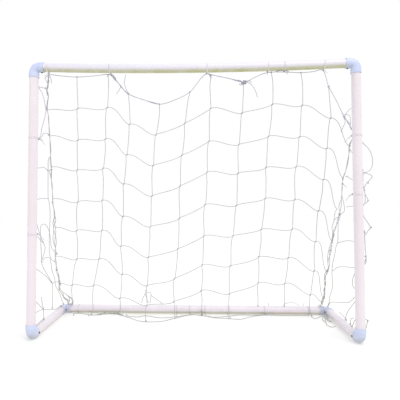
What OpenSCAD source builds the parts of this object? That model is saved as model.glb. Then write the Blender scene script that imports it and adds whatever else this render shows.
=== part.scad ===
// Small soccer goal: a plastic pipe frame in slip-fit elbows, with a string net tied on.
// X is the goal's width, +Y runs from the mouth to the back, +Z is up and the ground is z = 0.

/* [Frame] */
// Width between the posts' centre lines
goal_w = 1180; // [1170:5:1200]
// Height from the ground rails' centre line to the crossbar's
goal_h = 984; // [900:2:1100]
// Depth from the posts' centre line to the rear bar's
goal_d = 360; // [350:5:400]
// How far the crossbar hangs below a straight line at its middle
crossbar_sag = 10.4; // [10.4:0.2:12]

/* [Pipe] */
// Outside diameter of the pipe
pipe_od = 33.4; // [32:0.2:33.6]
// Wall thickness of the pipe
pipe_wall = 3.4; // [2.4:0.2:4]

/* [Elbows] */
// Outside diameter of an elbow's socket
hub_od = 37.8; // [37.6:0.2:40]
// Gap all round between a pipe and its socket
socket_gap = 0.5; // [0.45:0.05:0.6]
// Distance from the corner of an elbow to the lip of its sockets
elbow_reach = 38; // [36:1:42]
// Radius of the bend's centre line
bend_radius = 20; // [19:0.5:22]

/* [Net] */
// Thickness of the net panels
panel_t = 2.5; // [2:0.5:4]
// Diameter of the lacing cord
lace_d = 4; // [3:0.5:5]
// Diameter of the string that ties the net to the pipes
tie_d = 1.8; // [1.2:0.1:2]
// Turns of that string round a pipe at each tie
tie_turns = 2; // [2:1:4]
// Diameter of the string along the net's foot
foot_d = 3; // [2:0.5:4]

/* [Hidden] */

PIPE_COLOUR = "#efe6ea";
ELBOW_COLOUR = "#dfe6f4";
SCREW_COLOUR = "#4a4a4c";
NET_COLOUR = "#dfe0e2";
CORD_COLOUR = "#e6e6ea";

fine = 96;
arc_fine = 256;
pipe_r = pipe_od / 2;
pipe_ir = pipe_r - pipe_wall;
hub_r = hub_od / 2;
bend_r = hub_r - 1.15;             // the bend is slimmer than the sockets
socket_r = pipe_r + socket_gap;
socket_stop = bend_radius + 2;     // the shoulder that a pipe is pushed against
pipe_end = socket_stop + 1;        // where a pipe's end stands, from the corner
half_w = goal_w / 2;
front_y = -goal_d / 2;
back_y = goal_d / 2;
rail_z = hub_r;                    // the elbows' sockets rest on the ground
top_z = rail_z + goal_h;

// The crossbar is one shallow arc that crosses its sockets' centre line half-way in.
seat_x = half_w - (pipe_end + elbow_reach) / 2;
sag_radius = seat_x * seat_x / (2 * crossbar_sag) + crossbar_sag / 2;
sag_half_angle = asin((half_w - pipe_end) / sag_radius);
function crossbar_z(x) =
    top_z - crossbar_sag + sag_radius - sqrt(sag_radius * sag_radius - x * x);

// Self-tapping pan-head screws that lock the pipes in the sockets
screw_r = 1.75;
screw_head_r = 3.6;
screw_head_h = 2.3;
screw_len = 9;
screw_tip = 2.5;
screw_hole_gap = 0.05;
screw_at = (socket_stop + elbow_reach) / 2;   // from the elbow's corner

// The back net hangs in the plane through the crossbar and the rear bar.
slope = atan2(goal_d, goal_h);
slope_len = norm([goal_d, goal_h]);
panel_clear = hub_r + 3;           // from a pipe's centre line to a panel's edge
corner_cord_r = 3;
corner_cord_x = half_w - 8;
back_half_w = corner_cord_x - corner_cord_r - 1;

// Where the head cord is tied up to the crossbar, from left to right
HEAD_TIES = [-538, -306, 53, 275, 334, 476];
// Ties along the rear bar, and heights of the ties on the posts above the rails
FOOT_TIES = [-520, -77, -20, 48, 151, 312, 504];
LEFT_POST_TIES = [365, 720];
RIGHT_POST_TIES = [510, 722];

// The head cord from its first tie to the right corner cord: [x, distance down the slope]
HEAD_ROUTE = [
    [-538, 25], [-485, 32], [-432, 36], [-370, 33], [-306, 29], [-285, 52], [-242, 99],
    [-185, 122], [-126, 139], [-68, 124], [-10, 95], [28, 50], [53, 31], [85, 38],
    [130, 47], [189, 62], [230, 45], [275, 29], [334, 28], [396, 31], [440, 28], [476, 25],
    [501, 82], [530, 127], [560, 180], [corner_cord_x, 240]
];
head_edge = 8;                     // from the head cord down to the back panel's edge
corner_cut = [24, 36];             // the panel's left corner, in from the post and down
right_cord_top = 244;              // where the right corner cord starts, down the slope
left_cord_top = 64;

// The foot cord as it lies on the ground in front of the rear bar: [x, y]
FOOT_ROUTE = [
    [-537, 160], [-505, 156], [-457, 138], [-424, 134], [-395, 154], [-345, 152],
    [-310, 130], [-273, 94], [-224, 55], [-173, 43], [-129, 59], [-84, 93], [-47, 130],
    [-12, 151], [20, 150], [55, 130], [91, 113], [146, 100], [196, 95], [242, 125],
    [277, 148], [317, 156], [400, 156], [504, 155]
];

function unit(v) = v / norm(v);

// A round bar along a list of points, as one closed surface.
module cord_along(p, d, up = [0, 1, 0], sides = 8) {
    last = len(p) - 1;
    rings = [
        for (i = [0 : last])
            let (
                t = unit(p[min(i + 1, last)] - p[max(i - 1, 0)]),
                u = unit(cross(t, up)),
                v = cross(t, u)
            )
            for (k = [0 : sides - 1])
                let (a = 360 * k / sides) p[i] + d / 2 * (cos(a) * u + sin(a) * v)
    ];
    walls = [
        for (i = [0 : last - 1], k = [0 : sides - 1])
            let (n = (k + 1) % sides)
                [i * sides + k, i * sides + n, (i + 1) * sides + n, (i + 1) * sides + k]
    ];
    near_cap = [for (k = [sides - 1 : -1 : 0]) k];
    far_cap = [for (k = [0 : sides - 1]) last * sides + k];
    polyhedron(points = rings, faces = concat(walls, [near_cap, far_cap]));
}

// Elbow placements: 0 top left, 1 top right, 2 and 3 front feet, 4 and 5 rear corners.
// An elbow's own corner is the origin, with one socket along +X and the other along +Y.
module at_corner(i) {
    right = i % 2 == 1;
    side = right ? 1 : -1;
    y = i < 4 ? front_y : back_y;
    z = i < 2 ? top_z : rail_z;
    turn = i < 2 ? [-90, 0, 0] : i < 4 ? [0, -90, 0] : [0, 0, -90];
    translate([side * half_w, y, z])
        mirror([right ? 1 : 0, 0, 0]) rotate(turn) children();
}

// Frame pipes -----------------------------------------------------------------------

module pipe(length) {
    difference() {
        cylinder(r = pipe_r, h = length, $fn = fine);
        translate([0, 0, -1]) cylinder(r = pipe_ir, h = length + 2, $fn = fine);
    }
}

// Screw holes of some corners, cut through one wall of the pipes
module pipe_holes(corners) {
    for (i = corners) at_corner(i) elbow_screw_places(i)
        translate([0, 0, pipe_ir - 3])
            cylinder(r = screw_r + screw_hole_gap, h = pipe_wall + 6, $fn = 32);
}

module crossbar() {
    color(PIPE_COLOUR) difference() {
        translate([0, front_y, top_z - crossbar_sag + sag_radius]) rotate([90, 0, 0])
            rotate([0, 0, -90 - sag_half_angle])
                rotate_extrude(angle = 2 * sag_half_angle, $fn = arc_fine)
                    translate([sag_radius, 0]) difference() {
                        circle(r = pipe_r, $fn = fine);
                        circle(r = pipe_ir, $fn = fine);
                    }
        pipe_holes([0, 1]);
    }
}

module post(side) {
    color(PIPE_COLOUR) difference() {
        translate([side * half_w, front_y, rail_z + pipe_end]) pipe(goal_h - 2 * pipe_end);
        pipe_holes(side < 0 ? [0, 2] : [1, 3]);
    }
}

module side_rail(side) {
    color(PIPE_COLOUR) difference() {
        translate([side * half_w, front_y + pipe_end, rail_z]) rotate([-90, 0, 0])
            pipe(goal_d - 2 * pipe_end);
        pipe_holes(side < 0 ? [2, 4] : [3, 5]);
    }
}

module left_post() post(-1);
module right_post() post(1);
module left_side_rail() side_rail(-1);
module right_side_rail() side_rail(1);

module rear_ground_bar() {
    color(PIPE_COLOUR) difference() {
        translate([-half_w + pipe_end, back_y, rail_z]) rotate([0, 90, 0])
            pipe(goal_w - 2 * pipe_end);
        pipe_holes([4, 5]);
    }
}

// Elbows ----------------------------------------------------------------------------

// One socket of an elbow along +X, from the bend to the lip
module elbow_socket() {
    step = 1.6;
    lip = 1.2;
    lead_in = 0.5;
    rotate([0, 90, 0]) rotate_extrude($fn = fine) polygon([
        [pipe_ir, bend_radius], [bend_r, bend_radius], [hub_r, bend_radius + step],
        [hub_r, elbow_reach - lip], [hub_r - 0.7, elbow_reach],
        [socket_r + lead_in, elbow_reach], [socket_r, elbow_reach - 2 * lead_in],
        [socket_r, socket_stop], [pipe_ir, socket_stop]
    ]);
}

// A right-angle elbow with its corner at the origin and its sockets along +X and +Y
module elbow(i) {
    color(ELBOW_COLOUR) at_corner(i) difference() {
        union() {
            translate([bend_radius, bend_radius, 0]) rotate([0, 0, 180])
                rotate_extrude(angle = 90, $fn = fine) translate([bend_radius, 0])
                    difference() {
                        circle(r = bend_r, $fn = fine);
                        circle(r = pipe_ir, $fn = fine);
                    }
            elbow_socket();
            mirror([1, -1, 0]) elbow_socket();
        }
        elbow_screw_places(i)
            translate([0, 0, pipe_r - 2])
                cylinder(r = screw_r + screw_hole_gap, h = 10, $fn = 32);
    }
}

// Puts its children at an elbow's two screws, with +Z from the pipe's centre line out.
// The first screw is on the inner side of the +X socket, the second on the face of the other.
module elbow_screw_places(i) {
    face = i == 2 || i == 3 ? 180 : 0;
    translate([screw_at, 0, 0]) rotate([-90, 0, 0]) children();
    translate([0, screw_at, 0]) rotate([0, face, 0]) children();
}

module top_left_elbow() elbow(0);
module top_right_elbow() elbow(1);
module front_left_foot_elbow() elbow(2);
module front_right_foot_elbow() elbow(3);
module rear_left_elbow() elbow(4);
module rear_right_elbow() elbow(5);

// A pan-head self-tapping screw whose head sits on a socket
module screw() {
    seat = hub_r + 0.05;
    end = seat - screw_len;
    slot_w = 0.9;
    slot_l = 4.2;
    difference() {
        rotate_extrude($fn = 48) polygon([
            [0, end], [0.4, end], [screw_r, end + screw_tip], [screw_r, seat],
            [screw_head_r, seat], [screw_head_r, seat + 1], [2.9, seat + 1.9],
            [1.9, seat + screw_head_h], [0, seat + screw_head_h]
        ]);
        for (a = [0, 90]) rotate([0, 0, a])
            translate([-slot_l / 2, -slot_w / 2, seat + 1.1]) cube([slot_l, slot_w, 3]);
    }
}

module screws(corners) {
    color(SCREW_COLOUR)
        for (i = corners) at_corner(i) elbow_screw_places(i) screw();
}

module top_elbow_screws() screws([0, 1]);
module foot_elbow_screws() screws([2, 3]);
module rear_elbow_screws() screws([4, 5]);

// Net panels ------------------------------------------------------------------------

// The back panel's own frame: x across, y down the slope from the crossbar's centre line
module down_the_slope() {
    translate([0, front_y, top_z]) rotate([slope - 90, 0, 0]) children();
}

// The panel's top edge follows the head cord, so it is open above the cord's long dip
// and beyond the cord's last tie. Its left corner is cut back clear of the elbow.
module net_back_panel() {
    end = slope_len - panel_clear;
    top = [for (q = HEAD_ROUTE) if (q[0] < back_half_w) [q[0], q[1] + head_edge]];
    outline = concat(
        [[-back_half_w, end], [-back_half_w, left_cord_top], [corner_cut[0] - half_w, corner_cut[1]]],
        top, [[back_half_w, right_cord_top], [back_half_w, end]]
    );
    color(NET_COLOUR) down_the_slope() translate([0, 0, -panel_t / 2])
        linear_extrude(panel_t) polygon(outline);
}

// A side panel fills the triangle between a post, a rail and the sloping corner cord.
// The right one stops at the post's upper tie, where the net's top corner is left open.
module side_panel(side, post_top) {
    c = panel_clear;
    tip = side > 0 ? [[right_cord_top * sin(slope), goal_h - right_cord_top * cos(slope)]] : [];
    color(NET_COLOUR)
        translate([side * half_w - panel_t / 2, front_y, rail_z])
        rotate([90, 0, 90]) linear_extrude(panel_t)
        polygon(concat([[c, c], [goal_d * (1 - c / goal_h), c]], tip, [[c, post_top]]));
}

module net_left_panel() side_panel(-1, goal_h * (1 - panel_clear / goal_d));
module net_right_panel() side_panel(1, RIGHT_POST_TIES[1]);

// Cords and ties --------------------------------------------------------------------

module head_cord() {
    color(CORD_COLOUR) down_the_slope()
        cord_along([for (q = HEAD_ROUTE) [q[0], q[1], 0]], lace_d, [0, 0, 1]);
}

// The sweep's eight corners reach out to its radius, so it lies just clear of the ground.
module foot_cord() {
    color(CORD_COLOUR)
        cord_along([for (q = FOOT_ROUTE) [q[0], q[1], foot_d / 2 + 0.1]], foot_d, [0, 0, 1]);
}

// A bundle of net strings down the edge of the back panel
module corner_cord(side, top) {
    color(CORD_COLOUR) down_the_slope()
        translate([side * corner_cord_x, top, 0]) rotate([-90, 0, 0])
        cylinder(r = corner_cord_r, h = slope_len - panel_clear - top, $fn = 24);
}

module left_corner_cord() corner_cord(-1, left_cord_top);
module right_corner_cord() corner_cord(1, right_cord_top);

// Turns of string round a pipe that runs along Z
module tie() {
    pitch = tie_d * 0.9;
    ring_r = pipe_r + 0.15 + tie_d / 2;
    rotate_extrude($fn = fine)
        for (k = [0 : tie_turns - 1])
            translate([ring_r, (k - (tie_turns - 1) / 2) * pitch]) circle(d = tie_d, $fn = 24);
}

module crossbar_ties() {
    color(CORD_COLOUR) for (x = HEAD_TIES)
        translate([x, front_y, crossbar_z(x)])
            rotate([0, 90 - asin(x / sag_radius), 0]) tie();
}

module post_ties(side, heights) {
    color(CORD_COLOUR) for (h = heights)
        translate([side * half_w, front_y, rail_z + h]) tie();
}

module left_post_ties() post_ties(-1, LEFT_POST_TIES);
module right_post_ties() post_ties(1, RIGHT_POST_TIES);

module rear_bar_ties() {
    color(CORD_COLOUR) for (x = FOOT_TIES)
        translate([x, back_y, rail_z]) rotate([0, 90, 0]) tie();
}

crossbar();
left_post();
right_post();
left_side_rail();
right_side_rail();
rear_ground_bar();
top_left_elbow();
top_right_elbow();
front_left_foot_elbow();
front_right_foot_elbow();
rear_left_elbow();
rear_right_elbow();
top_elbow_screws();
foot_elbow_screws();
rear_elbow_screws();
net_back_panel();
net_left_panel();
net_right_panel();
head_cord();
foot_cord();
left_corner_cord();
right_corner_cord();
crossbar_ties();
left_post_ties();
right_post_ties();
rear_bar_ties();
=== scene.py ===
"""A small pipe-frame soccer goal: materials for its CAD frame, and its knotted string net.

Everything is in metres in the goal's own frame: X across, +Y into the goal, +Z up.
"""

import math
import random

import bpy
import numpy as np
from mathutils import Matrix, Vector


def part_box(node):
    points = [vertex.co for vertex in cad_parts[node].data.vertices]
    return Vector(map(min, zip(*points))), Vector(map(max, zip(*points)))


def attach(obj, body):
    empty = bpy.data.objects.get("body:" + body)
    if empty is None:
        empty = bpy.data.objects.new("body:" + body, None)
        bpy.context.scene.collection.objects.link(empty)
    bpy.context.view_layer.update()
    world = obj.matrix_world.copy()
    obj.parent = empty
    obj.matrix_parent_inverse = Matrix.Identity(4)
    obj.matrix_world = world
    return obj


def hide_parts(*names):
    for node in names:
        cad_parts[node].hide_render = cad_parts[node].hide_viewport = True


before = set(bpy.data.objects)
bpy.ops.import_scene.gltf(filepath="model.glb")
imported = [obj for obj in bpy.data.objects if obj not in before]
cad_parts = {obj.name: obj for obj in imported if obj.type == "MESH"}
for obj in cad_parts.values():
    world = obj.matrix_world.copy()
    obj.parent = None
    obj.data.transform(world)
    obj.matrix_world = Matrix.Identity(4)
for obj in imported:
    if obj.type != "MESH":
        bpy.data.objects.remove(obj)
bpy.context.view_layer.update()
chance = random.Random(11)
MM = 0.001

# --- The frame's own places, read from the CAD nodes ------------------------------------


def middle(node):
    low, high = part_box(node)
    return (Vector(low) + Vector(high)) / 2


def extent(node):
    low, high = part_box(node)
    return Vector(high) - Vector(low)


HALF_W = middle("right_post").x
FRONT_Y = middle("right_post").y
BACK_Y = middle("rear_ground_bar").y
RAIL_Z = middle("rear_ground_bar").z
PIPE_R = extent("left_post").x / 2
HUB_R = extent("front_left_foot_elbow").x / 2      # an elbow's socket
TOP_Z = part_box("top_left_elbow")[1][2] - HUB_R     # the crossbar's centre line at its ends
SAG = (TOP_Z - PIPE_R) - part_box("crossbar")[0][2]
SLOPE = math.atan2(BACK_Y - FRONT_Y, TOP_Z - RAIL_Z)    # of the back net, from upright


def bar_drop(x):
    """How far the sagging crossbar's centre line hangs at x."""
    return SAG * (1 - (x / HALF_W) ** 2)


# --- Camera, floor and light ------------------------------------------------------------

CAMERA_PLACE = Vector((0.0146, -1.6318, 0.5153))
CAMERA_TURN = math.radians(2.17)
CAMERA_RISE = math.radians(2.19)
CAMERA_ROLL = math.radians(-0.085)


def make_camera():
    data = bpy.data.cameras.new("camera")
    data.sensor_width = 36
    data.lens = 36
    data.shift_x = 0.0458
    data.shift_y = -0.0425
    data.dof.use_dof = False
    camera = bpy.data.objects.new("camera", data)
    bpy.context.collection.objects.link(camera)
    turn = Matrix.Rotation(CAMERA_TURN, 4, "Z")
    rise = Matrix.Rotation(math.pi / 2 + CAMERA_RISE, 4, "X")
    roll = Matrix.Rotation(CAMERA_ROLL, 4, "Z")
    camera.matrix_world = Matrix.Translation(CAMERA_PLACE) @ turn @ rise @ roll
    bpy.context.scene.camera = camera


def area_light(name, place, aim, watts, side, colour):
    """A square lamp that faces aim."""
    data = bpy.data.lights.new(name, "AREA")
    data.energy = watts
    data.size = side
    data.color = colour
    lamp = bpy.data.objects.new(name, data)
    lamp.location = place
    lamp.rotation_euler = (Vector(aim) - Vector(place)).to_track_quat("-Z", "Y").to_euler()
    bpy.context.collection.objects.link(lamp)


def make_world():
    """White all round, dimmer from the front than from behind the goal."""
    world = bpy.data.worlds.new("studio")
    bpy.context.scene.world = world
    world.use_nodes = True
    nodes, links = world.node_tree.nodes, world.node_tree.links
    split = nodes.new("ShaderNodeSeparateXYZ")
    links.new(nodes.new("ShaderNodeTexCoord").outputs["Generated"], split.inputs["Vector"])
    fade = nodes.new("ShaderNodeMapRange")
    fade.interpolation_type = "SMOOTHSTEP"
    fade.inputs["From Min"].default_value = -0.35
    fade.inputs["From Max"].default_value = 0.45
    fade.inputs["To Min"].default_value = 0.54
    fade.inputs["To Max"].default_value = 1.0
    links.new(split.outputs["Y"], fade.inputs["Value"])
    links.new(fade.outputs["Result"], nodes["Background"].inputs["Strength"])
    nodes["Background"].inputs["Color"].default_value = (1.0, 1.0, 1.0, 1)


def make_sky_light():
    """Bright overcast light from above: a sun as wide as the clouds."""
    sun = bpy.data.lights.new("sky", "SUN")
    sun.energy = 0.9
    sun.angle = math.radians(40)
    lamp = bpy.data.objects.new("sky", sun)
    lamp.rotation_euler = (math.radians(28), math.radians(14), 0)
    bpy.context.collection.objects.link(lamp)


def make_floor():
    bpy.ops.mesh.primitive_plane_add(size=14, location=(0, 0, 0))
    floor = bpy.context.object
    floor.name = "floor"
    mat = bpy.data.materials.new("floor")
    mat.use_nodes = True
    shader = mat.node_tree.nodes["Principled BSDF"]
    shader.inputs["Base Color"].default_value = (0.60, 0.60, 0.595, 1)
    shader.inputs["Roughness"].default_value = 0.9
    # Its glow keeps the shadows as faint as they are on a white sweep.
    shader.inputs["Emission Color"].default_value = (1.0, 1.0, 1.0, 1)
    shader.inputs["Emission Strength"].default_value = 0.37
    floor.data.materials.append(mat)


bpy.context.scene.view_settings.view_transform = "Standard"
make_camera()
make_world()
make_sky_light()
area_light("key", (1.7, -2.0, 3.1), (0, 0, 0.4), 26, 1.6, (1.0, 0.99, 0.98))
area_light("fill", (-2.6, -2.4, 1.9), (0, 0, 0.3), 13, 2.0, (0.95, 0.97, 1.0))
make_floor()

# --- Materials --------------------------------------------------------------------------


class Look:
    """A Principled material whose colour, roughness and bump are built from noise."""

    def __init__(self, name, roughness=0.5):
        self.mat = bpy.data.materials.new(name)
        self.mat.use_nodes = True
        self.nodes = self.mat.node_tree.nodes
        self.links = self.mat.node_tree.links
        self.shader = self.nodes["Principled BSDF"]
        self.shader.inputs["Roughness"].default_value = roughness
        self.where = self.nodes.new("ShaderNodeTexCoord").outputs["Object"]

    def noise(self, scale, detail=4, rough=0.5, stretch=(1, 1, 1)):
        mapping = self.nodes.new("ShaderNodeMapping")
        mapping.inputs["Scale"].default_value = stretch
        self.links.new(self.where, mapping.inputs["Vector"])
        node = self.nodes.new("ShaderNodeTexNoise")
        node.inputs["Scale"].default_value = scale
        node.inputs["Detail"].default_value = detail
        node.inputs["Roughness"].default_value = rough
        self.links.new(mapping.outputs["Vector"], node.inputs["Vector"])
        return node.outputs["Fac"]

    def height(self, low, high):
        """0 below z = low and 1 above z = high."""
        split = self.nodes.new("ShaderNodeSeparateXYZ")
        self.links.new(self.where, split.inputs["Vector"])
        node = self.nodes.new("ShaderNodeMapRange")
        node.inputs["From Min"].default_value = low
        node.inputs["From Max"].default_value = high
        self.links.new(split.outputs["Z"], node.inputs["Value"])
        return node.outputs["Result"]

    def underside(self):
        """1 where the surface faces down, 0 where it faces level or up."""
        normal = self.nodes.new("ShaderNodeNewGeometry").outputs["Normal"]
        split = self.nodes.new("ShaderNodeSeparateXYZ")
        self.links.new(normal, split.inputs["Vector"])
        node = self.nodes.new("ShaderNodeMapRange")
        node.interpolation_type = "SMOOTHSTEP"
        node.inputs["From Min"].default_value = 0.0
        node.inputs["From Max"].default_value = -0.98
        self.links.new(split.outputs["Z"], node.inputs["Value"])
        return node.outputs["Result"]

    def ramp(self, value, stops):
        node = self.nodes.new("ShaderNodeValToRGB")
        ends = node.color_ramp.elements
        while len(ends) < len(stops):
            ends.new(0.5)
        for end, (at, colour) in zip(ends, stops):
            end.position = at
            end.color = (*colour, 1) if isinstance(colour, tuple) else (colour, colour, colour, 1)
        self.links.new(value, node.inputs["Fac"])
        return node.outputs["Color"]

    def mix(self, value, a, b):
        node = self.nodes.new("ShaderNodeMix")
        node.data_type = "RGBA"
        for name, part in ((6, a), (7, b)):
            if isinstance(part, tuple):
                node.inputs[name].default_value = (*part, 1)
            else:
                self.links.new(part, node.inputs[name])
        self.links.new(value, node.inputs[0])
        return node.outputs[2]

    def times(self, a, b):
        node = self.nodes.new("ShaderNodeMath")
        node.operation = "MULTIPLY"
        for k, part in enumerate((a, b)):
            if isinstance(part, float):
                node.inputs[k].default_value = part
            else:
                self.links.new(part, node.inputs[k])
        return node.outputs[0]

    def bump(self, value, strength, depth):
        node = self.nodes.new("ShaderNodeBump")
        node.inputs["Strength"].default_value = strength
        node.inputs["Distance"].default_value = depth
        self.links.new(value, node.inputs["Height"])
        if self.shader.inputs["Normal"].links:
            self.links.new(self.shader.inputs["Normal"].links[0].from_socket, node.inputs["Normal"])
        self.links.new(node.outputs["Normal"], self.shader.inputs["Normal"])

    def feed(self, value, socket):
        self.links.new(value, self.shader.inputs[socket])


def pipe_look(name, along, deep, pale, shade_depth):
    """Extruded plastic pipe that runs along axis number along, with painted olive shade underneath.
    """
    look = Look(name)
    pull = tuple(0.04 if k == along else 1 for k in range(3))
    cloudy = look.ramp(look.noise(5, 3), [(0.3, deep), (0.7, pale)])
    drawn = look.ramp(look.noise(160, 3, 0.6, pull), [(0.35, 0.0), (0.75, 1.0)])
    toned = look.mix(look.times(drawn, 0.22), cloudy, (0.83, 0.79, 0.85))
    scuffs = look.ramp(look.noise(70, 8, 0.75, (1, 1, 1)), [(0.64, 0.0), (0.72, 1.0)])
    marked = look.mix(look.times(scuffs, 0.35), toned, (0.60, 0.55, 0.53))
    # Painted shade, tinted olive as a painted reflection of green grass: faces that look down darken
    # in noisy patches, as strongly as the last argument sets.
    shade_patches = look.ramp(look.noise(16, 5, 0.6), [(0.25, 0.55 * shade_depth), (0.7, shade_depth)])
    shaded_below = look.mix(look.times(shade_patches, look.underside()), marked, (0.41, 0.42, 0.15))
    # Patchy, darker and browner towards the ground, from 75 mm down.
    near_ground = look.times(look.height(0.075, 0.0), look.noise(34, 5, 0.65))
    look.feed(look.mix(look.times(near_ground, 0.55), shaded_below, (0.50, 0.46, 0.36)), "Base Color")
    look.feed(look.ramp(look.noise(26, 5, 0.6, pull), [(0.3, 0.30), (0.8, 0.46)]), "Roughness")
    look.bump(look.noise(220, 2, 0.5, pull), 0.25, 0.0002)
    look.bump(look.noise(9, 2), 0.15, 0.0006)
    look.shader.inputs["IOR"].default_value = 1.52
    look.shader.inputs["Coat Weight"].default_value = 0.12
    return look.mat


def elbow_look():
    look = Look("moulded_fitting")
    base = look.ramp(look.noise(14, 3), [(0.3, (0.60, 0.665, 0.90)), (0.7, (0.66, 0.72, 0.93))])
    scuffs = look.ramp(look.noise(95, 7, 0.72), [(0.60, 0.0), (0.70, 1.0)])
    shaded = look.mix(look.times(look.underside(), 0.55), base, (0.36, 0.40, 0.40))
    marked = look.mix(look.times(scuffs, 0.3), shaded, (0.56, 0.58, 0.62))
    # Patchy, darker and browner towards the ground, from 45 mm down.
    near_ground = look.times(look.height(0.045, 0.0), look.noise(38, 5, 0.65))
    look.feed(look.mix(look.times(near_ground, 0.7), marked, (0.46, 0.42, 0.33)), "Base Color")
    look.feed(look.ramp(look.noise(40, 4), [(0.3, 0.34), (0.8, 0.5)]), "Roughness")
    look.bump(look.noise(420, 2), 0.2, 0.0002)
    look.shader.inputs["IOR"].default_value = 1.5
    return look.mat


def screw_look():
    look = Look("screw_steel")
    steel, brown = (0.055, 0.055, 0.06), (0.17, 0.10, 0.065)
    rust = look.ramp(look.noise(900, 5, 0.6), [(0.45, steel), (0.7, brown)])
    look.feed(rust, "Base Color")
    look.feed(look.ramp(look.noise(700, 3), [(0.3, 0.3), (0.8, 0.6)]), "Roughness")
    look.bump(look.noise(1800, 2), 0.3, 0.0001)
    look.shader.inputs["Metallic"].default_value = 0.85
    return look.mat


def string_look(name, pale, dull, near_ground_colour):
    """Twisted plastic twine: fibres, greyed patches, and a darker tint towards the ground."""
    look = Look(name, 0.72)
    patches = look.ramp(look.noise(11, 4), [(0.35, pale), (0.68, dull)])
    fibres = look.ramp(look.noise(1500, 3, 0.6), [(0.4, 0.0), (0.62, 1.0)])
    toned = look.mix(look.times(fibres, 0.35), patches, tuple(0.7 * c for c in dull))
    # Patchy, darker tint towards the ground, from 0.45 m down.
    near_ground = look.times(look.height(0.45, 0.0), look.noise(24, 4))
    look.feed(look.mix(near_ground, toned, near_ground_colour), "Base Color")
    look.bump(look.noise(2600, 2), 0.5, 0.0003)
    look.shader.inputs["Sheen Weight"].default_value = 0.25
    look.shader.inputs["Sheen Roughness"].default_value = 0.5
    return look.mat


# The net's twine is near white; the greys here are painted shade, as its thin strings look shaded
# against the white.
NET_LOOK = string_look("net_string", (0.58, 0.57, 0.64), (0.44, 0.45, 0.48), (0.39, 0.40, 0.29))
CORD_LOOK = string_look("lacing_cord", (0.61, 0.60, 0.70), (0.46, 0.46, 0.54), (0.43, 0.42, 0.37))
TIE_LOOK = string_look("tie_string", (0.93, 0.89, 0.92), (0.88, 0.83, 0.87), (0.66, 0.62, 0.56))


def dress_frame():
    """Gives the CAD nodes their materials; those the strings replace are dressed to match."""
    # Painted light: the pipes are one colour, given here as three copies. The crossbar's is cooler,
    # painting sky light on its top; the ground pipes' is paler and bluer, making up for the light
    # they miss. The last number to pipe_look sets each pipe's painted underside shade.
    cool = ((0.80, 0.765, 0.86), (0.84, 0.81, 0.895))
    warm = ((0.83, 0.745, 0.79), (0.87, 0.80, 0.84))
    low = ((0.87, 0.80, 0.905), (0.92, 0.86, 0.96))
    upright = pipe_look("pipe_upright", 2, *warm, 0.6)
    deep = pipe_look("pipe_deep", 1, *low, 0.4)
    looks = {
        "crossbar": pipe_look("pipe_across", 0, *cool, 1.0),
        "rear_ground_bar": pipe_look("pipe_rear", 0, *low, 1.0),
        "left_post": upright, "right_post": upright,
        "left_side_rail": deep, "right_side_rail": deep,
        "head_cord": CORD_LOOK,
    }
    endings = {"elbow": elbow_look(), "screws": screw_look(), "ties": TIE_LOOK}
    for name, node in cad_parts.items():
        mat = looks.get(name) or endings.get(name.split("_")[-1], NET_LOOK)
        for place in node.material_slots:
            place.material = mat


dress_frame()

# --- String, knots and wraps ------------------------------------------------------------

STRING_R = 1.35 * MM      # net string
CORD_R = 1.4 * MM         # lacing cord
TIE_R = 0.85 * MM         # string of the ties
PLIES = 3
PLY_DEPTH = 0.13          # how deep the grooves between plies are, as a share of the radius
LAY = 15 * MM             # length of one turn of the twist
SIDES = 9                 # faces round a string
RING_GAP = 1.9 * MM       # length of its faces
KNOT_POINTS = 40
WRAP_POINTS = 40          # along each turn of a wrap


def unit(v):
    return v / max(np.linalg.norm(v), 1e-12)


def smooth(points, gap):
    """Points about gap apart along a Catmull-Rom curve through the given ones."""
    p = np.array([tuple(q) for q in points], float)
    p = np.vstack([2 * p[0] - p[1], p, 2 * p[-1] - p[-2]])
    out = []
    for i in range(1, len(p) - 2):
        a, b, c, d = p[i - 1 : i + 3]
        n = max(2, int(round(np.linalg.norm(c - b) / gap)))
        t = (np.arange(n) / n)[:, None]
        out.append(
            0.5 * (2 * b + (c - a) * t + (2 * a - 5 * b + 4 * c - d) * t**2
                   + (3 * b - a - 3 * c + d) * t**3)
        )
    return np.vstack(out + [p[-2:-1]])


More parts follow.
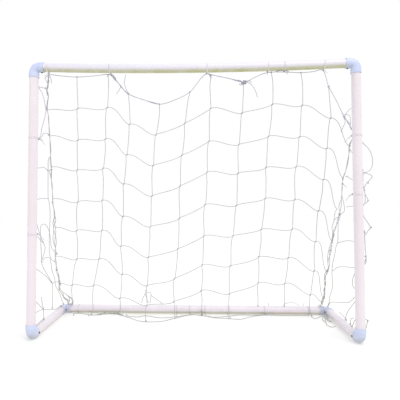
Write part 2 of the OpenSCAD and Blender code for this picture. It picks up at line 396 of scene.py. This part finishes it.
class Strands:
    """Gathers twisted strings, knots and wraps into one mesh object."""

    def __init__(self):
        self.points = []
        self.faces = []
        self.looks = []
        self.count = 0
        self.look = 0

    def ring_walls(self, rings, sides, closed):
        base = self.count + np.arange(rings)[:, None] * sides + np.arange(sides)[None, :]
        ahead = np.roll(base, -1, axis=0) if closed else base[1:]
        here = base if closed else base[:-1]
        walls = np.stack([here, np.roll(here, -1, 1), np.roll(ahead, -1, 1), ahead], axis=-1)
        self.faces.extend(walls.reshape(-1, 4).tolist())
        if not closed:
            self.faces.append(base[0, ::-1].tolist())
            self.faces.append(base[-1].tolist())
        self.looks.extend([self.look] * (len(self.faces) - len(self.looks)))

    def tube(self, line, radius, plies=PLIES, sides=SIDES, closed=False, start_turn=0.0):
        """A bar along the points of line, twisted from plies if it has any."""
        line = np.asarray(line, float)
        n = len(line)
        if closed:
            along = np.roll(line, -1, 0) - np.roll(line, 1, 0)
        else:
            along = np.gradient(line, axis=0)
        along = along / np.maximum(np.linalg.norm(along, axis=1), 1e-12)[:, None]
        side = np.zeros_like(line)
        first = np.array([0.0, 1.0, 0.0]) if abs(along[0][1]) < 0.9 else np.array([1.0, 0.0, 0.0])
        side[0] = unit(np.cross(along[0], first))
        for i in range(1, n):
            side[i] = unit(side[i - 1] - along[i] * np.dot(side[i - 1], along[i]))
        up = np.cross(along, side)
        steps = np.linalg.norm(np.diff(line, axis=0), axis=1)
        far = np.concatenate([[0], np.cumsum(steps)])
        angle = np.arange(sides) * 2 * math.pi / sides
        twist = (start_turn + far / LAY) * 2 * math.pi
        r = radius * np.ones((n, sides))
        if plies:
            lobes = np.cos(plies * angle[None, :] - twist[:, None] * plies)
            r = radius * (1 - PLY_DEPTH + PLY_DEPTH * lobes)
        rings = (
            line[:, None, :]
            + r[..., None] * (np.cos(angle)[None, :, None] * side[:, None, :]
                              + np.sin(angle)[None, :, None] * up[:, None, :])
        )
        self.ring_walls(n, sides, closed)
        self.points.append(rings.reshape(-1, 3))
        self.count += n * sides

    def string(self, points, radius=STRING_R, gap=RING_GAP):
        self.tube(smooth(points, gap), radius, start_turn=chance.random())

    def knot(self, at, size=2.6 * MM, radius=1.05 * MM):
        """A trefoil pulled tight, which is what a small hard knot looks like."""
        t = np.arange(KNOT_POINTS) * 2 * math.pi / KNOT_POINTS
        shape = np.stack([
            np.sin(t) + 2 * np.sin(2 * t), np.cos(t) - 2 * np.cos(2 * t), -1.3 * np.sin(3 * t)
        ], axis=1) / 3
        turn = Matrix.Rotation(chance.uniform(0, 6.3), 3, "Y")
        turn = turn @ Matrix.Rotation(chance.uniform(0.9, 2.2), 3, "X")
        shape = shape @ np.array(turn).T * size + np.array(tuple(at))
        self.tube(shape, radius, plies=0, sides=8, closed=True)

    def wrap(self, at, along, out, bar_r, turns=2, radius=TIE_R, pitch=2.1):
        """Turns of string round a bar. Returns the place for their knot, on the out side."""
        along, out = unit(np.array(tuple(along))), unit(np.array(tuple(out)))
        side = np.cross(along, out)
        t = np.linspace(0, turns, int(WRAP_POINTS * turns))
        ring_r = bar_r + radius + 0.1 * MM
        wide = (t - turns / 2) * radius * pitch
        angle = 2 * math.pi * t[:, None]
        ring = ring_r * (np.cos(angle) * out + np.sin(angle) * side)
        line = np.array(tuple(at)) + wide[:, None] * along + ring
        self.tube(line, radius)
        return Vector(np.array(tuple(at)) + out * (ring_r + 1.2 * radius))

    def tail(self, at, length, lean, radius=TIE_R):
        """The loose end of a knot: it leaves along lean, and droops and curls."""
        lean = Vector(lean).normalized()
        curl = Vector((-lean.y, lean.x, 0)) * chance.uniform(-0.35, 0.35)
        line = [
            Vector(at) + length * (lean * t + (curl + Vector((0, 0, -0.5))) * t * t)
            for t in (0, 0.25, 0.5, 0.75, 1)
        ]
        self.string(line, radius)

    def finish(self, name, mats, node):
        """Makes the one mesh object, which stands in for a CAD node."""
        mesh = bpy.data.meshes.new(name)
        mesh.from_pydata(np.vstack(self.points).tolist(), [], self.faces)
        mesh.polygons.foreach_set("use_smooth", [True] * len(mesh.polygons))
        mesh.polygons.foreach_set("material_index", self.looks)
        mesh.update()
        for mat in mats:
            mesh.materials.append(mat)
        piece = bpy.data.objects.new(name, mesh)
        bpy.context.collection.objects.link(piece)
        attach(piece, "root")
        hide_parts(node)


# --- The net's layout -------------------------------------------------------------------

# Places on the back net are (across, down): millimetres from the goal's middle, and down
# the slope from the crossbar's centre line. The routes follow the net as it hangs in the photo.

# The head cord from its first tie to the right corner
HEAD_ROUTE = [
    (-538, 25), (-485, 32), (-432, 36), (-370, 33), (-306, 29), (-285, 52), (-242, 99),
    (-185, 122), (-126, 139), (-68, 124), (-10, 95), (28, 50), (53, 31), (85, 38),
    (130, 47), (189, 62), (230, 45), (275, 29), (334, 28), (396, 31), (440, 28), (476, 25),
    (501, 82), (530, 127), (560, 180), (570, 197), (588, 218), (605, 248), (611, 266),
]
HEAD_TIES = [-538, -306, 53, 275, 334, 476]     # across

# Each column of knots: where it hangs from the head cord, its sixth knot, its seventh, and
# where its last string meets the ground, the bar or the elbow: (across, deep, high).
COLUMNS = [
    ((-432, 36), (-506, 795), (-539, 927), (-548, 168, 38)),
    ((-314, 29), (-403, 795), (-444, 929), (-452, 138, 4)),
    ((-242, 99), (-315, 873), (-330, 996), (-333, 150, 4)),
    ((-126, 139), (-205, 930), (-211, 1030), (-199, 50, 4)),
    ((-10, 95), (-80, 893), (-89, 1010), (-80, 96, 4)),
    ((68, 35), (38, 820), (32, 953), (35, 140, 4)),
    ((189, 62), (162, 825), (156, 968), (149, 100, 4)),
    ((288, 28), (280, 784), (279, 911), (284, 176, 37)),
    ((396, 31), (403, 783), (393, 913), (401, 176, 37)),
    ((501, 82), (513, 851), (508, 970), (513, 150, 4)),
]
# How far its knots from the second to the seventh sit right of the straight line between
SWAY = [
    (0, 5, 6, 6, 5, 5), (-2, 0, 0, 0, 6, 0), (10, 4, -3, -6, -9, 5), (-7, -10, -8, 2, -6, -5),
    (-12, -8, -14, 1, 4, -6), (6, 6, 4, 2, -4, 0), (-2, 0, 3, 1, -1, -1), (12, 0, 1, 9, -5, -3),
    (14, 6, 5, 10, 6, -1), (18, 13, 6, -4, -8, 4),
]
ROWS = 7
# Share of the way down to the sixth knot; the meshes stretch towards the bottom.
ROW_SHARE = [0.0, 0.154, 0.314, 0.474, 0.650, 0.825, 1.0]
# The bottom of the net stands FORWARD in front of the rear bar. It comes forward from BEND_AT
# down the slope, over BEND_OVER, and less within EDGE_FADE of its side edges.
FORWARD = 62
BEND_AT = 860
BEND_OVER = 170
NET_EDGE = 560
EDGE_FADE = 60
FORWARD_RISE = 0.26       # it rises by this share of how far it comes forward
FORWARD_PINCH = 1800      # and narrows towards a point this far in front
BELLY = 9                 # how far the net blows in front of its plane, half way down
NET_LONG = 1000

# The net's side edges are strings gathered into bundles down the corners.
LEFT_BUNDLE = [
    (-538, 25), (-545, 64), (-551, 82), (-548, 104), (-555, 131), (-559, 153), (-556, 180),
    (-558, 235), (-561, 294), (-566, 343), (-568, 389), (-572, 439), (-575, 504), (-579, 539),
    (-576, 570), (-578, 606), (-585, 670), (-591, 740), (-598, 813), (-599, 863), (-595, 903),
    (-592, 920), (-596, 948), (-587, 969), (-578, 995), (-566, 1008), (-566, 1026),
]
LEFT_KNOTS = [
    (-559, 150), (-568, 394), (-579, 534), (-577, 600), (-588, 770), (-599, 850), (-592, 922),
]
# Strings that leave the left bundle and join it again
LEFT_SPLITS = [
    [(-578, 602), (-588, 624), (-587, 647), (-593, 680), (-597, 703), (-592, 741)],
    [(-568, 394), (-576, 398), (-574, 420), (-573, 439)],
    [(-582, 964), (-572, 974), (-560, 989), (-551, 997), (-546, 1010), (-548, 1026)],
    [(-580, 966), (-569, 977), (-557, 988), (-546, 998), (-542, 1012), (-546, 1026)],
    [(-560, 990), (-559, 1005), (-563, 1020)],
    [(-541, 28), (-553, 40), (-545, 58), (-543, 64)],
    [(-538, 26), (-531, 40), (-531, 58)],
]
RIGHT_BUNDLE = [
    (611, 266), (605, 283), (600, 302), (600, 334), (597, 394), (589, 435), (590, 485),
    (592, 510), (589, 562), (590, 584), (585, 628), (575, 673), (575, 696), (571, 760),
    (570, 788), (575, 831), (569, 848), (563, 875), (564, 909), (570, 969), (567, 989),
    (565, 1015),
]
RIGHT_KNOTS = [
    (600, 303), (601, 320), (588, 435), (589, 456), (590, 584), (575, 673), (571, 750),
    (570, 848), (567, 985),
]
RIGHT_SPLITS = [
    [(592, 510), (601, 532), (608, 562), (607, 575), (596, 586), (587, 597), (576, 606),
     (570, 623), (568, 650), (576, 677), (575, 705)],
    [(578, 564), (572, 579), (572, 606), (570, 623)],
    [(568, 183), (580, 185), (589, 191), (592, 206), (595, 225)],
    [(597, 155), (585, 166), (578, 174), (570, 188)],
    [(569, 198), (574, 213), (569, 228), (562, 250)],
    [(598, 425), (604, 428), (608, 423)],
    [(589, 456), (599, 464), (606, 470)],
]
# Where each row ends on the left and on the right bundle
ROW_ENDS = [
    ((-556, 158), (599, 304)), ((-558, 258), (588, 431)), (None, (579, 562)), (None, (574, 707)),
    (None, (566, 849)), (None, (564, 979)), ((-592, 921), (562, 1003)),
]


def on_net(across, down):
    """A place on the back net, in metres."""
    t = min(max((down - BEND_AT) / BEND_OVER, 0), 1)
    inside = max(0.0, min(1.0, (NET_EDGE - abs(across)) / EDGE_FADE))
    forward = FORWARD * t * t * (3 - 2 * t) * inside
    belly = BELLY * math.sin(math.pi * min(max(down / NET_LONG, 0), 1))
    y = down * math.sin(SLOPE) - belly * math.cos(SLOPE) - forward
    z = -down * math.cos(SLOPE) - belly * math.sin(SLOPE) + FORWARD_RISE * forward
    x = across * (1 - forward / FORWARD_PINCH)
    return Vector((x * MM, FRONT_Y + y * MM, TOP_Z + z * MM))


def along_net(route):
    return [on_net(*place) for place in route]


def across_bundle(bundle, down):
    """Where a corner bundle is, across, at a distance down the slope."""
    return float(np.interp(down, [q[1] for q in bundle], [q[0] for q in bundle]))


def knot_grid():
    """The knots as grid[column][row], row 0 being the head cord."""
    grid = []
    for (head, low, foot, _), sway in zip(COLUMNS, SWAY):
        column = []
        for row in range(ROWS):
            share = ROW_SHARE[row]
            # A column below a dip of the head cord is slack, and its knots hang closer to it.
            slack = 10 * math.sin(math.pi * share) * (head[1] > 60)
            loose = 0.0 if row == 0 else 1.0
            across = head[0] + (low[0] - head[0]) * share + loose * chance.uniform(-4, 4)
            across += sway[row - 1] if row else 0
            down = head[1] + (low[1] - head[1]) * share - slack + loose * chance.uniform(-3, 3)
            column.append((across, down))
        column.append(foot)
        grid.append(column)
    return grid


GRID = knot_grid()
KNOT_SHIFT = Vector((2.2, 0, 0)) * MM     # a column jogs sideways at each knot
KNOT_STEP = Vector((0, 0, 1.6)) * MM      # and a row steps up


def row_string(strands, a, b):
    """A row's string between two knots: a hump after the first and a sag before the second."""
    a, b = Vector(a), Vector(b)
    run = (b - a).length
    flat = Vector((b.x - a.x, b.y - a.y, 0)).normalized()
    fall = (a.z - b.z) / run
    rise = 0.22 + chance.uniform(-0.10, 0.12) - 0.25 * fall
    lift = 0.38 + chance.uniform(-0.12, 0.12) - (1.2 if fall > 0 else 0.5) * fall
    start = (flat + Vector((0, 0, rise))).normalized() * run * (1 + 0.4 * max(0.0, fall))
    end = (flat + Vector((0, 0, lift))).normalized() * run
    line = []
    for i in range(11):
        t = i / 10
        h = (2 * t**3 - 3 * t**2 + 1, t**3 - 2 * t**2 + t, -2 * t**3 + 3 * t**2, t**3 - t**2)
        line.append(a * h[0] + start * h[1] + b * h[2] + end * h[3])
    strands.string(line)


def column_string(strands, a, b, sway):
    """A column's string between two knots, bowed a little to one side."""
    a, b = Vector(a), Vector(b)
    bend = Vector((sway, chance.uniform(-2, 2) * MM, 0))
    strands.string([a, a.lerp(b, 0.3) + bend, a.lerp(b, 0.65) + bend * 0.7, b])


def make_back_net():
    net = Strands()
    for column in GRID:
        for row in range(ROWS):
            above, below = on_net(*column[row]), on_net(*column[row + 1])
            top = above if row == 0 else above - KNOT_SHIFT - KNOT_STEP
            column_string(net, top, below + KNOT_SHIFT + KNOT_STEP, chance.uniform(-4, 4.5) * MM)
    for row in range(1, ROWS + 1):
        line = [column[row] for column in GRID]
        left, right = ROW_ENDS[row - 1]
        if left is None:
            left = (across_bundle(LEFT_BUNDLE, line[0][1] - 12), line[0][1] - 12)
        knots = along_net([left] + line + [right])
        for i in range(len(knots) - 1):
            row_string(net, knots[i] + KNOT_STEP, knots[i + 1] - KNOT_STEP)
            if i:
                net.knot(knots[i])
    # Strings crossed over one another where the net bunches up above the rear bar
    for route in (
        [(-209, 947), (-215, 968), (-203, 1018)], [(-207, 961), (-190, 969), (-195, 1018)],
        [(-215, 968), (-225, 990), (-235, 1018)], [(-188, 979), (-164, 1000), (-140, 1020)],
    ):
        net.string(along_net(route))
    net.finish("back_net", [NET_LOOK], "net_back_panel")


def twist_bundle(strands, line, strings, spread, lay, radius=STRING_R):
    """Strings wound loosely round one another along a line, one turn in each lay's length."""
    core = smooth(line, 5 * MM)
    far = np.concatenate([[0], np.cumsum(np.linalg.norm(np.diff(core, axis=0), axis=1))])
    # The waves along it make the turns and the gaps uneven, as a bundle is, unlike a rope.
    for k in range(strings):
        phase = 2 * math.pi * (k / strings + far / lay) + 0.7 * np.sin(far * 29 + 2 * k)
        loose = spread * (1 + 0.5 * np.sin(far * 21 + 1.7 * k))
        offset = np.stack([np.cos(phase), np.sin(phase), 0 * phase], axis=1) * loose[:, None]
        strands.string(core + offset, radius)


def make_corner(name, side, bundle, loose, thick, knots, splits, node):
    """A corner's bundle of strings: looser from its point loose, with a third from thick."""
    strands = Strands()
    twist_bundle(strands, along_net(bundle[: loose + 1]), 2, spread=1.3 * MM, lay=0.11)
    twist_bundle(strands, along_net(bundle[loose:]), 2, spread=3.3 * MM, lay=0.10)
    for route in splits:
        strands.string(along_net(route), STRING_R * 0.95)
    for place in knots:
        strands.knot(on_net(*place), 3.4 * MM, 1.25 * MM)
    if side < 0:    # the left one starts at the crossbar, wrapped with tying string
        twist_bundle(strands, along_net(bundle[:4]), 2, spread=1.5 * MM, lay=0.05)
        twist_bundle(strands, along_net(bundle[2:5]), 2, spread=1.2 * MM, lay=0.02, radius=TIE_R)
    twist_bundle(strands, along_net(bundle[thick:]), 1, spread=4.6 * MM, lay=0.24)
    # The bundle ends in turns round the rear elbow.
    strands.look = 1
    end = on_net(*bundle[-1])
    out = HUB_R + 2.2 * MM
    for k, wide in enumerate((9, 0, -9)):
        line = [end]
        for a in np.linspace(math.pi * (0.45 + 0.03 * k), math.pi * 1.28, 12):
            across = end.x - side * (wide + 5 * math.sin(a)) * MM
            deep = BACK_Y - 2 * k * MM + out * math.cos(a)
            line.append(Vector((across, deep, RAIL_Z + out * math.sin(a))))
        strands.string(line, CORD_R * 0.9)
    strands.finish(name, [NET_LOOK, TIE_LOOK], node)


make_back_net()
make_corner(
    "left_corner_bundle", -1, LEFT_BUNDLE, 15, 19, LEFT_KNOTS, LEFT_SPLITS, "left_corner_cord",
)
make_corner(
    "right_corner_bundle", 1, RIGHT_BUNDLE, 7, 11, RIGHT_KNOTS, RIGHT_SPLITS, "right_corner_cord",
)

# --- The side nets ----------------------------------------------------------------------

# Their strings hang slack and pulled out of square, so each has its own route, as places
# (deep, high): millimetres behind the posts' centre line and above the ground.
LEFT_SIDE = [
    [(17, 940), (52, 945), (82, 951), (118, 958)],
    [(17, 952), (55, 938), (83, 929), (104, 911), (118, 890), (130, 877)],
    [(130, 877), (122, 850), (102, 818), (82, 787), (73, 762), (49, 741), (17, 739)],
    [(17, 739), (54, 740), (88, 760), (108, 774), (146, 780), (160, 776)],
    [(17, 622), (38, 629), (82, 636), (112, 639), (156, 630)],
    [(17, 505), (37, 510), (75, 515), (116, 516), (163, 514)],
    [(179, 687), (160, 673), (159, 628), (162, 526), (175, 497), (187, 451), (183, 394),
     (180, 345), (184, 295), (195, 269), (214, 216), (243, 177), (258, 140), (303, 96), (334, 56),
     (350, 40)],
    [(82, 390), (87, 409), (109, 414), (141, 409), (168, 391), (180, 377), (192, 352),
     (205, 313), (235, 292), (258, 280)],
    [(17, 450), (34, 435), (44, 415), (64, 391), (90, 362), (116, 341), (136, 319), (123, 295),
     (106, 278), (100, 267), (114, 246), (152, 215), (197, 178), (221, 157), (224, 102), (222, 57)],
    [(17, 385), (32, 373), (60, 368), (80, 355), (111, 343)],
    [(118, 272), (134, 278), (178, 273), (218, 257), (242, 247)],
    [(17, 262), (54, 246), (104, 224), (158, 198), (209, 165)],
    [(221, 157), (250, 160), (290, 150)],
    [(17, 145), (68, 113), (124, 80), (173, 64), (261, 42), (320, 40)],
    [(17, 78), (50, 87), (89, 83), (122, 80)],
    [(82, 390), (90, 330), (101, 268)],
    [(102, 132), (110, 106), (124, 79), (131, 38)],
    [(131, 38), (90, 40), (45, 39), (22, 58)],
]
RIGHT_SIDE = [
    [(72, 700), (53, 686), (26, 669), (17, 662)],
    [(118, 601), (77, 589), (30, 577), (17, 574)],
    [(123, 481), (82, 484), (29, 486), (17, 486)],
    [(221, 331), (173, 342), (110, 352), (35, 357), (17, 357)],
    [(285, 205), (248, 223), (223, 232), (155, 246), (83, 255), (35, 263), (17, 264)],
    [(17, 268), (36, 250), (60, 224), (70, 207), (66, 190), (34, 181), (17, 178)],
    [(17, 172), (35, 161), (69, 141), (109, 120), (151, 107), (254, 82), (311, 67), (335, 51)],
    [(17, 152), (41, 141), (80, 113), (121, 83), (143, 62), (149, 43)],
    [(220, 51), (186, 49), (159, 47), (143, 42)],
    [(17, 110), (39, 81), (60, 60), (73, 45), (83, 37)],
    [(62, 74), (92, 61), (100, 40)],
    [(208, 442), (215, 405), (219, 352), (225, 331), (243, 312), (250, 295), (264, 268),
     (281, 240), (290, 209), (291, 179), (285, 155), (296, 123), (319, 92), (330, 62), (346, 41)],
]
# Strings and loops that have slipped outside the right post: (across, high)
RIGHT_OUTSIDE = [
    [(610, 619), (610, 598), (610, 562), (614, 544), (617, 523), (616, 498), (610, 487), (609, 465),
     (608, 444), (609, 409), (613, 394), (613, 366), (614, 331), (616, 306), (612, 292), (608, 281)],
    [(607, 718), (621, 705), (636, 689), (645, 670), (648, 650), (645, 628), (635, 614), (623, 608),
     (607, 606)],
    [(609, 605), (628, 603), (646, 594), (640, 582), (627, 569), (617, 556), (613, 542)],
    [(616, 528), (626, 512), (627, 505), (621, 498), (608, 492)],
    [(608, 453), (616, 442), (635, 411), (626, 398), (614, 384)],
    [(615, 310), (619, 296), (619, 283), (611, 277), (607, 284)],
    [(601, 91), (609, 87), (618, 82), (616, 73), (611, 56), (604, 48)],
]
OUTSIDE_KNOTS = [
    (628, 570), (609, 598), (614, 544), (627, 506), (609, 452), (635, 411), (613, 394),
    (614, 308), (618, 81),
]
SIDE_INSET = 2      # how far inside the posts' centre plane a side net hangs
SIDE_BELLY = 5      # how far it bellies out half way back
SIDE_DEEP = 330
CORNER_GAP = 4      # how far in front of the back net's plane its strings stay


def side_place(side, deep, high):
    """A place on a side net, which bellies out a little between the post and the corner.

    A place that would stand out behind the back net is drawn in to that net's plane, where
    the corner bundle is. It moves towards the camera, so its route looks the same from there.
    """
    belly = SIDE_BELLY * math.sin(math.pi * min(deep / SIDE_DEEP, 1))
    place = Vector((side * (HALF_W + (belly - SIDE_INSET) * MM), FRONT_Y + deep * MM, high * MM))
    sight = place - CAMERA_PLACE
    fall = math.tan(SLOPE)
    behind = deep * MM + CORNER_GAP * MM - (TOP_Z - place.z) * fall
    return place - sight * max(0.0, behind) / (sight.y + sight.z * fall)


def make_side_net(name, side, routes, node):
    net = Strands()
    for route in routes:
        net.string([side_place(side, *place) for place in route])
        net.knot(side_place(side, *route[-1]))
    if side > 0:
        # The loops outside hang just behind the post's centre line, slack by 4, 8 or 12 mm.
        for k, route in enumerate(RIGHT_OUTSIDE):
            share = [i / (len(route) - 1) for i in range(len(route))]
            slack = [3 + (1 + k % 3) * 4 * math.sin(math.pi * t) for t in share]
            net.string([Vector((q[0], FRONT_Y / MM + s, q[1])) * MM for q, s in zip(route, slack)])
        for across, high in OUTSIDE_KNOTS:
            net.knot(Vector((across, FRONT_Y / MM + 5, high)) * MM)
    net.finish(name, [NET_LOOK], node)


make_side_net("left_side_net", -1, LEFT_SIDE, "net_left_panel")
make_side_net("right_side_net", 1, RIGHT_SIDE, "net_right_panel")

# --- Lacing and ties --------------------------------------------------------------------

# Loose ends on the head cord, on the net's slope
HEAD_TAGS = [
    [(-249, 30), (-252, 45), (-255, 63), (-244, 97)],
    [(-269, 74), (-279, 89), (-287, 100)],
    [(-302, 27), (-294, 33), (-287, 42)],
    [(60, 33), (66, 38), (70, 47)],
]
BIG_KNOT = (189, 63)
BIG_KNOT_TAGS = [
    [(189, 63), (172, 55), (156, 57)],
    [(189, 63), (205, 57), (219, 63)],
    [(189, 63), (206, 64), (220, 74), (232, 91), (242, 117)],
    [(189, 63), (180, 72), (171, 68)],
]


def make_head_cord():
    cord = Strands()
    cord.string(along_net(HEAD_ROUTE), STRING_R * 1.1)
    for first, last in ((-306, -126), (53, 189)):
        part = [q for q in HEAD_ROUTE if first <= q[0] <= last]
        twist_bundle(cord, along_net(part), 2, spread=1.5 * MM, lay=0.06)
    twist_bundle(cord, along_net(HEAD_ROUTE[-5:]), 2, spread=1.6 * MM, lay=0.05)
    for column in COLUMNS:
        cord.knot(on_net(*column[0]), 2.8 * MM)
    for route in HEAD_TAGS:
        cord.string(along_net(route), STRING_R)
    for route in BIG_KNOT_TAGS:
        cord.string(along_net(route), CORD_R)
    for _ in range(5):
        across, deep, high = (chance.uniform(-far, far) for far in (6, 3, 3.5))
        cord.knot(on_net(*BIG_KNOT) + Vector((across, deep, high)) * MM, 5.2 * MM, CORD_R)
    for place in ((-242, 99), (-290, 44), (501, 82), (568, 192), (66, 38)):
        cord.knot(on_net(*place), 4.0 * MM, 1.35 * MM)
    cord.finish("head_lacing", [CORD_LOOK], "head_cord")


def make_crossbar_ties():
    ties = Strands()
    for x in HEAD_TIES:
        at = Vector((x * MM, FRONT_Y, TOP_Z - bar_drop(x * MM)))
        ties.look = 0
        knot = ties.wrap(at, (1, 0, 0), (0, 0.5, -1), PIPE_R)
        ties.look = 1
        ties.knot(knot, 3.0 * MM)
        ties.string([knot, knot.lerp(on_net(x, 28), 0.5) + Vector((2, 0, 0)) * MM, on_net(x, 28)])
        ties.tail(knot, 0.016, (chance.uniform(-1, 1), -0.4, -0.4))
    # A slack turn of cord lies along the bar's underside at the middle right tie.
    under = TOP_Z - bar_drop(0.334) - PIPE_R - 1.5 * MM
    turn = ((300, 4, 2), (314, -2, 0), (330, -3, 0.5), (345, 2, 0), (352, 5, 3))
    ties.string([Vector((x * MM, FRONT_Y + y * MM, under - z * MM)) for x, y, z in turn], CORD_R)
    ties.finish("crossbar_lacing", [TIE_LOOK, CORD_LOOK], "crossbar_ties")


def make_post_ties(name, side, heights, node):
    ties = Strands()
    for high in heights:
        at = Vector((side * HALF_W, FRONT_Y, RAIL_Z + high * MM))
        ties.look = 0
        knot = ties.wrap(at, (0, 0, 1), (-side, 0.8, 0), PIPE_R)
        ties.look = 1
        ties.knot(knot, 3.2 * MM)
        ties.tail(knot, 0.026, (-side, 0.5, -0.5))
        ties.tail(knot, 0.018, (-side * 0.4, 0.9, 0.1))
    ties.finish(name, [TIE_LOOK, CORD_LOOK], node)


# The net's foot string as it lies on the ground in front of the rear bar: (across, deep)
FOOT_ROUTE = [
    (-537, 160), (-505, 156), (-457, 138), (-424, 134), (-395, 154), (-345, 152), (-310, 130),
    (-273, 94), (-224, 55), (-173, 43), (-129, 59), (-84, 93), (-47, 130), (-12, 151),
    (20, 150), (55, 130), (91, 113), (146, 100), (196, 95), (242, 125), (277, 148),
    (317, 156), (400, 156), (504, 155),
]
# More of the net lies slack beside it.
GROUND_STRINGS = [
    [(-300, 150), (-287, 122), (-247, 114), (-209, 128), (-145, 105), (-81, 115), (-35, 146),
     (0, 153)],
    [(60, 136), (91, 116), (149, 137), (203, 154), (257, 156), (300, 154)],
    [(572, 158), (556, 134), (545, 104), (542, 82), (544, 62), (538, 26)],
    [(566, 157), (560, 112), (543, 54), (540, 16), (552, 4), (568, 12)],
    [(575, 156), (572, 128), (563, 100), (561, 76), (568, 72)],
    [(513, 152), (508, 134), (517, 115), (539, 132), (560, 154)],
    [(-538, 156), (-532, 140), (-526, 122)],
    [(-470, 150), (-462, 128), (-455, 120)],
]
# One loop of it stands a little off the ground inside the right rail: (across, deep, high).
SPARE_LOOP = [
    (569, 60, 4), (556, 72, 12), (551, 96, 10), (560, 118, 4), (570, 104, 8), (566, 84, 14),
]
FOOT_TIES = [-520, -77, -20, 48, 151, 312, 504]      # across


def foot_depth(across):
    return float(np.interp(across, [q[0] for q in FOOT_ROUTE], [q[1] for q in FOOT_ROUTE]))


def make_bar_ties():
    ties = Strands()
    for x in FOOT_TIES:
        at = Vector((x * MM, BACK_Y, RAIL_Z))
        ties.look = 0
        knot = ties.wrap(at, (1, 0, 0), (0, -0.8, -0.6), PIPE_R)
        ties.look = 1
        ties.knot(knot, 3.0 * MM)
        ties.string([knot, Vector((x + 4, foot_depth(x + 6) + 4, 7)) * MM,
                     Vector((x + 6, foot_depth(x + 6), 4)) * MM])
    # Slack loops of the tying string stand up behind the bar or lie along its foot.
    back = (BACK_Y + PIPE_R) / MM
    for route in (
        [(397, back - 6, 30), (408, back, 42), (438, back + 2, 48), (463, back, 40),
         (470, back - 4, 31)],
        [(332, back - 12, 34), (333, back - 12, 48)], [(484, back - 12, 34), (486, back - 12, 47)],
        [(-470, 158, 8), (-440, 157, 6), (-416, 158, 9), (-392, 158, 6)],
        [(292, 157, 7), (312, 156, 5), (334, 157, 8), (352, 158, 6)],
    ):
        ties.string([Vector(place) * MM for place in route], TIE_R * 1.2)
    ties.finish("rear_bar_lacing", [TIE_LOOK, CORD_LOOK], "rear_bar_ties")


def make_foot_net():
    foot = Strands()
    floor_gap = STRING_R / MM + 0.4
    for route in [FOOT_ROUTE] + GROUND_STRINGS:
        # Every other place is a little higher, as string lies on grass.
        high = [floor_gap + 1.5 * (i % 2) for i in range(len(route))]
        foot.string([Vector((x, y, z)) * MM for (x, y), z in zip(route, high)])
    foot.string([Vector(place) * MM for place in SPARE_LOOP])
    for column, (_, _, _, spot) in zip(GRID, COLUMNS):
        knot = on_net(*column[-1])
        end = Vector(spot) * MM
        if end.z > RAIL_Z:      # it ends on top of the bar, or hangs in front of it
            mid = knot.lerp(end, 0.6)
        else:
            deep = min(end.y, BACK_Y - PIPE_R - 6 * MM)
            mid = Vector(((knot.x + end.x) / 2, deep, RAIL_Z + 6 * MM))
        over = knot.lerp(mid, 0.5) + Vector((chance.uniform(-4, 4), 2, 3)) * MM
        foot.string([knot - KNOT_STEP, over, mid, end])
        foot.knot(end)
    # Two places on the foot string are tied thick: at the fifth mesh and near the left end.
    for x, y, z in ((35, 141, 7), (36, 144, 13), (33, 147, 19), (-338, 150, 7), (-352, 151, 7)):
        foot.knot(Vector((x, y, z)) * MM, 3.8 * MM, 1.4 * MM)
    part = [Vector((x, y, 5.5)) * MM for x, y in FOOT_ROUTE if -430 < x < -300]
    twist_bundle(foot, part, 2, spread=2.0 * MM, lay=0.05)
    foot.finish("net_foot", [NET_LOOK], "foot_cord")


make_head_cord()
make_crossbar_ties()
make_post_ties("left_post_lacing", -1, [365, 720], "left_post_ties")
make_post_ties("right_post_lacing", 1, [510, 722], "right_post_ties")
make_bar_ties()
make_foot_net()
